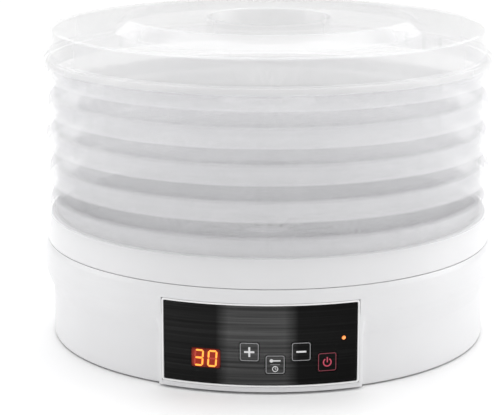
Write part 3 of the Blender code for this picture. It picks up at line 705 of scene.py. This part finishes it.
def make_housing(mats):
    outline = [(156.3, 69.5), (157.8, 66.5), (158.7, 61.5), (158.7, 51.5), (157.2, 45.5),
               (154.0, 37.6), (153.1, 35.0), (153.1, 1.7), (152.7, 1.0)]
    outer = rounded([(155.6, 69.5)] + outline, [0, 0.5, 7.0, 9.0, 9.0, 3.5, 3.0, 6.0, 0.5, 0],
                    step=6.0)
    for level in (RECESS_HIGH, 55.0, 48.0, 42.0, WINDOW[3], 30.0, 24.0, 18.0, WINDOW[2], 7.4,
                  RECESS_LOW, 3.4, 2.3, 1.9):
        outer = with_level(outer, level)
    inner = beside(outer, -2.0)
    rows = len(outer)
    plain = [math.radians(d) for d in range(27, 334, 1)]
    console = [-CONSOLE_HALF - CONSOLE_FADE * (1 - i / 6) for i in range(7)]
    console += [-RECESS_HALF, -CAVITY[0]]
    console += [math.radians(a) for a in (-21, -19.5)] + [WINDOW[0]]
    console += [math.radians(a) for a in range(-17, 22)] + [WINDOW[1]]
    console += [math.radians(22.0), CAVITY[0], RECESS_HALF]
    console += [CONSOLE_HALF + CONSOLE_FADE * i / 6 for i in range(7)]
    spins = sorted(console + plain)
    count = len(spins)

    def signed(angle):
        return (angle + math.pi) % (2 * math.pi) - math.pi

    def kind(i, j):
        """0 for plain wall, 1 behind the panel, 2 for the window."""
        a = signed((spins[i] + (spins[i + 1] if i + 1 < count else spins[0] + 2 * math.pi)) / 2)
        z = (outer[j].y + outer[j + 1].y) / 2
        if abs(a) > RECESS_HALF or not RECESS_LOW < z < RECESS_HIGH or outer[j].x < 152.5:
            return 0
        inside = WINDOW[0] < a < WINDOW[1] and WINDOW[2] < z < WINDOW[3]
        return 2 if inside else 1

    bm = bmesh.new()
    skin, back, floor = [], [], []
    for spin in spins:
        a = signed(spin)
        skin.append([bm.verts.new(on_circle(console_radius(p.x, p.y, a) * MM, spin, p.y * MM))
                     for p in outer])
        back.append([bm.verts.new(on_circle(console_inner(p.x, p.y, a) * MM, spin, p.y * MM))
                     for p in inner])
        floor.append([bm.verts.new(on_circle(RECESS_R * MM, spin, p.y * MM)) for p in outer])
    layers = {0: skin, 1: floor, 2: back}
    kinds = [[kind(i, j) for j in range(rows - 1)] for i in range(count)]
    for i in range(count):
        n = (i + 1) % count
        for j in range(rows - 1):
            here = kinds[i][j]
            if here != 2:
                top = layers[here]
                bm.faces.new((top[i][j], top[i][j + 1], top[n][j + 1], top[n][j]))
                bm.faces.new((back[i][j], back[n][j], back[n][j + 1], back[i][j + 1]))
            beyond = kinds[n][j]
            if beyond != here:
                a, b = layers[here], layers[beyond]
                bm.faces.new((a[n][j], a[n][j + 1], b[n][j + 1], b[n][j]))
            under = kinds[i][j + 1] if j + 1 < rows - 1 else here
            if under != here:
                a, b = layers[here], layers[under]
                bm.faces.new((a[i][j + 1], a[n][j + 1], b[n][j + 1], b[i][j + 1]))
        for j in (0, rows - 1):
            bm.faces.new((skin[i][j], skin[n][j], back[n][j], back[i][j]))
    loose = [v for v in bm.verts if not v.link_faces]
    bmesh.ops.delete(bm, geom=loose, context="VERTS")
    add_turned(bm, COVER_LIP, spins, closed=True)
    housing = link_mesh("housing_moulding", bm, weld=0.000002, sharp=40.0)
    drill = cylinder_between("cord_drill", 6.0, (0.0, 140.0, 20.0), (0.0, 165.0, 20.0), 32)
    pierce(housing, drill)
    finish(housing, mats["body"], "base", "body_white", "base_housing")


def cylinder_between(name, radius, start, end, steps=32):
    start, end = Vector(start) * MM, Vector(end) * MM
    along = end - start
    turn = along.to_track_quat("Z", "Y").to_matrix().to_4x4()
    place = Matrix.Translation((start + end) / 2) @ turn
    bm = bmesh.new()
    bmesh.ops.create_cone(bm, cap_ends=True, segments=steps, radius1=radius * MM,
                          radius2=radius * MM, depth=along.length, matrix=place)
    return link_mesh(name, bm)


def pierce(obj, cutter):
    """Cut a hole and keep the result as plain mesh."""
    step = obj.modifiers.new("hole", "BOOLEAN")
    step.operation = "DIFFERENCE"
    step.solver = "EXACT"
    step.object = cutter
    bake_modifiers(obj)
    bpy.data.objects.remove(cutter)


def bake_modifiers(obj):
    view = bpy.context.evaluated_depsgraph_get()
    mesh = bpy.data.meshes.new_from_object(obj.evaluated_get(view))
    obj.modifiers.clear()
    obj.data = mesh


# ---------------------------------------------------------------- control panel

PANEL_R = 158.4
PANEL_HALF_WIDE = 64.28              # along the arc
PANEL_LOW, PANEL_HIGH = 6.6, 59.2
KEYS = {"plus": (-6.6, 28.8), "mode": (10.0, 20.5), "minus": (26.8, 28.8), "power": (43.9, 21.0)}
KEY_SIZE = 12.8
STEM_WIDE = 4.0
STEM_TIP, STEM_SLOPE = 144.12, 2.4   # how far out a key's stem ends, and more as it turns away
DISPLAY = (-35.2, 23.2, 19.3, 12.6)
LIGHT = (55.2, 36.2, 1.3)
GAP = 0.3


def frame_outline(x, y, wide, tall, corner, step=18.0):
    """A rounded rectangle as a closed list of points."""
    w, t = wide / 2, tall / 2
    corners = [(x - w, y - t), (x + w, y - t), (x + w, y + t), (x - w, y + t)]
    return rounded(corners, [corner] * 4, closed=True, step=step)


def round_outline(x, y, radius, steps=28):
    return [Vector((x + radius * math.cos(a), y + radius * math.sin(a))) for a in even_spins(steps)]


def wrapped(name, loops, back, front, edge=0.0, strip=2.0, turn=0.0):
    """A plate of the outlines' shape, bent round the body between two radii, all in millimetres.

    Outlines are (distance along the panel, height). edge rounds the front and back edges.
    """
    curve = bpy.data.curves.new(name, "CURVE")
    curve.dimensions = "2D"
    curve.fill_mode = "BOTH"
    for loop in loops:
        spline = curve.splines.new("POLY")
        spline.points.add(len(loop) - 1)
        for point, spot in zip(spline.points, loop):
            point.co = (spot[0], spot[1], 0.0, 1.0)
        spline.use_cyclic_u = True
    curve.extrude = (front - back) / 2 - edge
    curve.bevel_depth = edge
    curve.bevel_resolution = 2
    curve.offset = -edge
    flat = bpy.data.objects.new(name, curve)
    SCENE.collection.objects.link(flat)
    view = bpy.context.evaluated_depsgraph_get()
    mesh = bpy.data.meshes.new_from_object(flat.evaluated_get(view))
    bpy.data.objects.remove(flat)
    bm = bmesh.new()
    bm.from_mesh(mesh)
    bpy.data.meshes.remove(mesh)
    bmesh.ops.remove_doubles(bm, verts=bm.verts, dist=0.0001)
    low = min(v.co.x for v in bm.verts)
    high = max(v.co.x for v in bm.verts)
    cuts = int((high - low) / strip)
    for i in range(1, cuts + 1):
        at = low + (high - low) * i / (cuts + 1)
        bmesh.ops.bisect_plane(bm, geom=bm.verts[:] + bm.edges[:] + bm.faces[:], dist=0.00001,
                               plane_co=(at, 0.0, 0.0), plane_no=(1.0, 0.0, 0.0))
    middle = (front + back) / 2
    for v in bm.verts:
        along, z, out = v.co
        v.co = on_circle((middle + out) * MM, turn + along / PANEL_R, z * MM)
    return link_mesh(name, bm, sharp=40.0)


def make_panel(mats):
    low, high = PANEL_LOW, PANEL_HIGH
    tall, level = high - low, (high + low) / 2
    loops = [frame_outline(0.0, level, 2 * PANEL_HALF_WIDE, tall, 0.8)]
    for x, z in KEYS.values():
        loops.append(frame_outline(x, z, KEY_SIZE + 2 * GAP, KEY_SIZE + 2 * GAP, 1.9))
    x, z, wide, high_d = DISPLAY
    loops.append(frame_outline(x, z, wide + 2 * GAP, high_d + 2 * GAP, 0.8))
    loops.append(round_outline(LIGHT[0], LIGHT[1], LIGHT[2] + GAP))
    sheet = wrapped("panel_sheet", loops, PANEL_R - 1.2, PANEL_R, 0.1)
    finish(sheet, mats["panel"], "base", "panel_black", "panel_overlay")

    rim = GAP + 1.2
    loops = [frame_outline(0.0, level, 2 * (PANEL_HALF_WIDE + rim), tall + 2 * rim, 1.6),
             frame_outline(0.0, level, 2 * (PANEL_HALF_WIDE + GAP), tall + 2 * GAP, 0.8)]
    edge = wrapped("panel_rim", loops, PANEL_R - 1.2, PANEL_R + 0.2, 0.3)
    finish(edge, mats["frame"], "base", "frame_white", "panel_frame")

    lens = wrapped("display_lens", [frame_outline(x, z, wide, high_d, 0.6)], PANEL_R - 2.7,
                   PANEL_R - 0.1, 0.1)
    finish(lens, mats["lens"], "base", "display_red", "display_window")
    for place, lit in ((-4.55, "abcdg"), (4.45, "abcdef")):
        for name in "abcdefg":
            mat = mats["digit"] if name in lit else mats["ghost"]
            side = "left" if place < 0 else "right"
            piece = wrapped(f"digit_{side}_{name}", [segment_outline(name, x + place, z)],
                            PANEL_R - 0.3, PANEL_R - 0.04)
            finish(piece, mat, "base", "display_red")
    turn = LIGHT[0] / PANEL_R
    lamp = make_lamp_lens(turn)
    finish(lamp, mats["amber"], "base", "pilot_amber", "indicator_light")


DIGIT_WIDE, DIGIT_TALL, STROKE, SLANT = 6.3, 11.2, 1.15, 0.07


def segment_outline(name, x, z):
    """One bar of a seven-segment digit, pointed at both ends and leaning a little."""
    w, h = DIGIT_WIDE / 2 - STROKE / 2, DIGIT_TALL / 2 - STROKE / 2
    ends = {"a": ((-w, h), (w, h)), "b": ((w, h), (w, 0)), "c": ((w, 0), (w, -h)),
            "d": ((-w, -h), (w, -h)), "e": ((-w, 0), (-w, -h)), "f": ((-w, h), (-w, 0)),
            "g": ((-w, 0), (w, 0))}[name]
    start, end = Vector(ends[0]), Vector(ends[1])
    along = (end - start).normalized()
    side = Vector((-along.y, along.x)) * (STROKE / 2)
    start, end = start + along * 0.12, end - along * 0.12
    inset = along * (STROKE / 2)
    points = [start, start + inset + side, end - inset + side, end, end - inset - side,
              start + inset - side]
    return [Vector((x + p.x + p.y * SLANT, z + p.y)) for p in points]


def make_lamp_lens(turn):
    """A domed pin whose crown is flush with the panel."""
    profile = [(0.0, 3.4), (0.7, 3.33), (1.1, 3.1), (1.3, 2.7), (1.3, -1.8), (0.0, -1.8)]
    bm = bmesh.new()
    add_turned(bm, profile, even_spins(24))
    base = on_circle((PANEL_R - 3.4) * MM, turn, LIGHT[1] * MM)
    out = on_circle(1.0, turn).to_track_quat("Z", "Y").to_matrix().to_4x4()
    bmesh.ops.transform(bm, matrix=Matrix.Translation(base) @ out, verts=bm.verts)
    return link_mesh("pilot_lens", bm, weld=0.000001)


def ring_loops(x, z, size, corner, width):
    return [frame_outline(x, z, size, size, corner),
            frame_outline(x, z, size - 2 * width, size - 2 * width, corner - width)]


def arc_loop(x, z, radius, width, start, end, steps=24):
    """A round stroke as one closed outline."""
    turns = [start + (end - start) * i / steps for i in range(steps + 1)]
    far, near = radius + width / 2, radius - width / 2
    outer = [Vector((x + far * math.sin(a), z + far * math.cos(a))) for a in turns]
    inner = [Vector((x + near * math.sin(a), z + near * math.cos(a))) for a in reversed(turns)]
    return outer + inner


def plus_loop(x, z, arm, half):
    steps = [(half, arm), (half, half), (arm, half), (arm, -half), (half, -half), (half, -arm),
             (-half, -arm), (-half, -half), (-arm, -half), (-arm, half), (-half, half),
             (-half, arm)]
    return rounded([(x + a, z + b) for a, b in steps],
                   [0.3, 0.1, 0.3, 0.3, 0.1, 0.3, 0.3, 0.1, 0.3, 0.3, 0.1, 0.3], closed=True)


def bar_loop(x, z, wide, tall, corner=0.3):
    return frame_outline(x, z, wide, tall, corner)


def key_marks(name, x, z):
    """Outlines printed on each key, as (piece suffix, loops, ink)."""
    if name == "plus":
        return [("sign", [plus_loop(x, z, 3.3, 0.65)], "ink")]
    if name == "minus":
        return [("sign", [bar_loop(x, z, 6.5, 1.2)], "ink")]
    if name == "power":
        ring = arc_loop(x, z - 0.2, 2.55, 0.85, math.radians(32), math.radians(328))
        return [("ring", [ring], "red_ink"), ("bar", [bar_loop(x, z + 1.5, 0.85, 3.6)], "red_ink")]
    marks = [("rule", [bar_loop(x, z, 6.2, 0.3, 0.1)], "outline")]
    bulb = [round_outline(x - 2.4, z + 2.6, 1.15), ]
    stem = [bar_loop(x + 0.9, z + 2.6, 5.2, 0.9, 0.4)]
    marks += [("bulb", bulb, "ink"), ("stem", stem, "ink")]
    marks += [("dial", [round_outline(x, z - 2.9, 1.95), round_outline(x, z - 2.9, 1.45)], "ink"),
              ("hand", [bar_loop(x, z - 2.35, 0.4, 1.3, 0.1)], "ink"),
              ("pointer", [bar_loop(x + 0.45, z - 2.95, 1.2, 0.4, 0.1)], "ink")]
    return marks


def make_keys(mats):
    for name, (x, z) in KEYS.items():
        body = f"{name}_key"
        cap = wrapped(f"{name}_cap", [frame_outline(x, z, KEY_SIZE, KEY_SIZE, 1.7)], PANEL_R - 2.6,
                      PANEL_R, 0.12)
        turn = x / PANEL_R
        reach = (STEM_TIP + STEM_SLOPE * abs(math.sin(turn))) / math.cos(turn)
        bm = bmesh.new()
        bm.from_mesh(cap.data)
        length = PANEL_R - 1.0 - reach
        add_block(bm, (0.0, -(reach + length / 2), z), (STEM_WIDE, length, STEM_WIDE), turn)
        bm.to_mesh(cap.data)
        bm.free()
        finish(cap, mats["panel"], body, "key_black", f"key_{name}")
        ink = "red_outline" if name == "power" else "outline"
        border = wrapped(f"{name}_border", ring_loops(x, z, 12.0, 1.4, 0.45), PANEL_R - 0.1,
                         PANEL_R + 0.03)
        finish(border, mats[ink], body, "key_black")
        for suffix, loops, colour in key_marks(name, x, z):
            mark = wrapped(f"{name}_{suffix}", loops, PANEL_R - 0.1, PANEL_R + 0.04)
            finish(mark, mats[colour], body, "key_black")


# ---------------------------------------------------------------- everything else

NODE_LOOKS = {
    "bottom_cover": "cover", "control_board": "board", "power_board": "board",
    "display_module": "block", "fan_motor": "steel", "motor_shaft": "shaft",
    "fan_impeller": "impeller", "motor_bracket": "zinc", "air_duct": "tin",
    "heater_element": "sheath", "heater_frame": "mica", "thermal_fuse": "ceramic",
    "temperature_sensor": "ceramic", "transformer": "tape", "relay": "relay",
    "capacitor": "sleeve", "cord_bush": "rubber",
}


def dress_nodes(mats):
    looks = dict(NODE_LOOKS)
    for i in range(1, 5):
        looks[f"foot_{i}"] = "rubber"
        looks[f"cover_screw_{i}"] = "shaft"
    for name in ("plus", "mode", "minus", "power"):
        looks[f"switch_{name}"] = "switch"
    for node, look in looks.items():
        obj = NODES[node]
        obj.data.materials.clear()
        obj.data.materials.append(mats[look])


make_camera()
make_studio()
make_floor()
MATS = make_materials()
make_lid(MATS)
make_trays(MATS)
make_deck(MATS)
make_housing(MATS)
make_panel(MATS)
make_keys(MATS)
dress_nodes(MATS)
